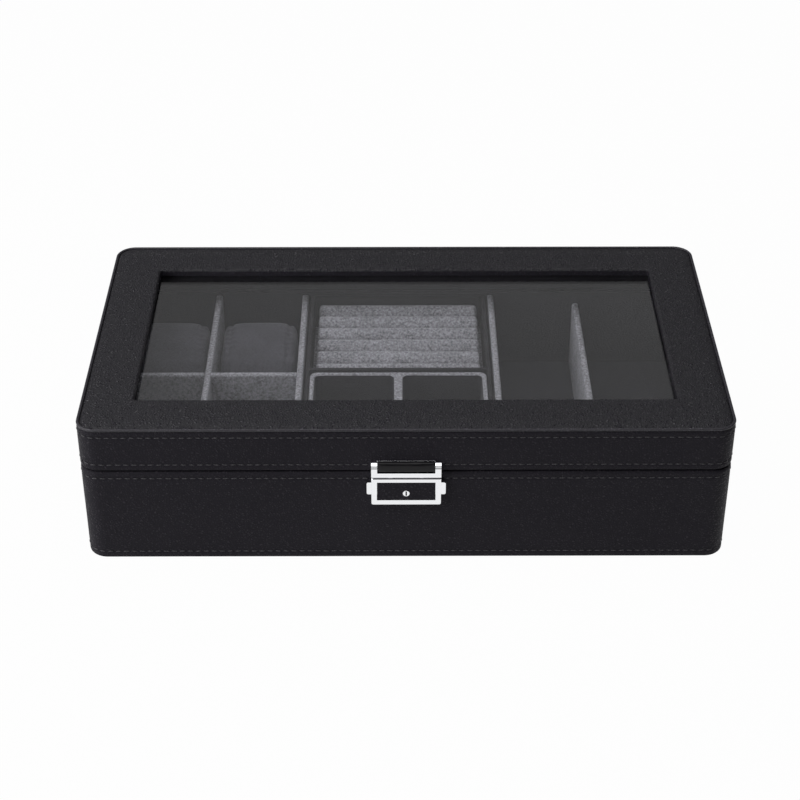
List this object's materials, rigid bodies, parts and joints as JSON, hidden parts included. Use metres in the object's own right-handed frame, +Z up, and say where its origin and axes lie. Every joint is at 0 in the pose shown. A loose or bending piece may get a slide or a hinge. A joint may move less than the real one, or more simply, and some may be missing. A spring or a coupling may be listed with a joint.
{
  "type": "watch box",
  "caption": "Black leatherette watch box with a hinged glass lid, chrome side-press clasp, velvet watch cells with pillows, a lift-out ring tray and glasses bays.",
  "frame": {"origin": "middle of the underside, where the box stands", "axes": "+Z up, +X to the right seen from the front, the clasp faces -Y"},
  "size_m": [0.3356, 0.1964, 0.0825],
  "materials": {
    "board": "bare fibreboard",
    "leather": "black grained leatherette",
    "felt": "black felt",
    "velvet": "grey short-pile velvet",
    "tray_card": "dark velvet-covered card",
    "pillow": "grey velvet over foam",
    "glass": "clear float glass",
    "chrome": "bright plated die casting",
    "steel": "plain plated steel"
  },
  "bodies": {
    "base": {"base_front_board": "board", "base_rear_board": "board", "base_left_board": "board", "base_right_board": "board", "base_floor_board": "board", "base_leather_wrap": "leather", "bottom_felt": "felt", "base_wall_lining": "velvet", "base_floor_lining": "velvet", "watch_long_divider": "velvet", "watch_cross_divider": "velvet", "bay_divider_left": "velvet", "bay_divider_right": "velvet", "glasses_divider": "velvet", "hinge_base_leaf_left": "steel", "hinge_base_leaf_right": "steel", "hinge_pins": "steel", "hinge_base_screws": "steel", "lock_frame": "chrome", "lock_back_plate": "steel", "lock_inlay": "leather", "lock_screws": "steel", "button_spring_left": "steel", "button_spring_right": "steel"},
    "lid": {"lid_front_board": "board", "lid_rear_board": "board", "lid_left_board": "board", "lid_right_board": "board", "lid_front_rail": "board", "lid_rear_rail": "board", "lid_left_rail": "board", "lid_right_rail": "board", "lid_side_leather": "leather", "lid_top_leather": "leather", "lid_piping": "leather", "glass_pane": "glass", "glass_retainer": "velvet", "lid_wall_lining": "velvet", "hinge_lid_leaf_left": "steel", "hinge_lid_leaf_right": "steel", "hinge_lid_screws": "steel", "hasp_frame": "chrome", "hasp_inlay": "leather", "hasp_screws": "steel"},
    "release_button_left": {"release_button_left": "chrome", "latch_slider_left": "steel"},
    "release_button_right": {"release_button_right": "chrome", "latch_slider_right": "steel"},
    "lock_plug": {"lock_plug": "chrome"},
    "tray": {"tray_floor": "tray_card", "tray_frame": "tray_card", "ring_platform": "velvet", "ring_rolls": "velvet", "trinket_insert": "velvet"},
    "watch_pillow_front_left": {"watch_pillow_front_left": "pillow"},
    "watch_pillow_front_right": {"watch_pillow_front_right": "pillow"},
    "watch_pillow_rear_left": {"watch_pillow_rear_left": "pillow"},
    "watch_pillow_rear_right": {"watch_pillow_rear_right": "pillow"}
  },
  "joints": [
    {"name": "lid_hinge", "type": "hinge", "parent": "base", "child": "lid", "pos_m": [0, 0.0966, 0.0562], "axis": [-1, 0, 0], "range_deg": [0, 100]},
    {"name": "release_left", "type": "slide", "parent": "base", "child": "release_button_left", "axis": [1, 0, 0], "range_m": [0, 0.0016], "stiffness_N_per_m": 300, "springref_m": -0.002, "deforming": ["button_spring_left"]},
    {"name": "release_right", "type": "slide", "parent": "base", "child": "release_button_right", "axis": [-1, 0, 0], "range_m": [0, 0.0016], "stiffness_N_per_m": 300, "springref_m": -0.002, "deforming": ["button_spring_right"]},
    {"name": "key_turn", "type": "hinge", "parent": "base", "child": "lock_plug", "pos_m": [0, -0.0977, 0.0444], "axis": [0, -1, 0], "range_deg": [0, 90]},
    {"name": "tray_lift", "type": "slide", "parent": "base", "child": "tray", "axis": [0, 0, 1], "range_m": [0, 0.018]},
    {"name": "pillow_front_left_lift", "type": "slide", "parent": "base", "child": "watch_pillow_front_left", "axis": [0, 0, 1], "range_m": [0, 0.02]},
    {"name": "pillow_front_right_lift", "type": "slide", "parent": "base", "child": "watch_pillow_front_right", "axis": [0, 0, 1], "range_m": [0, 0.02]},
    {"name": "pillow_rear_left_lift", "type": "slide", "parent": "base", "child": "watch_pillow_rear_left", "axis": [0, 0, 1], "range_m": [0, 0.02]},
    {"name": "pillow_rear_right_lift", "type": "slide", "parent": "base", "child": "watch_pillow_rear_right", "axis": [0, 0, 1], "range_m": [0, 0.02]}
  ]
}
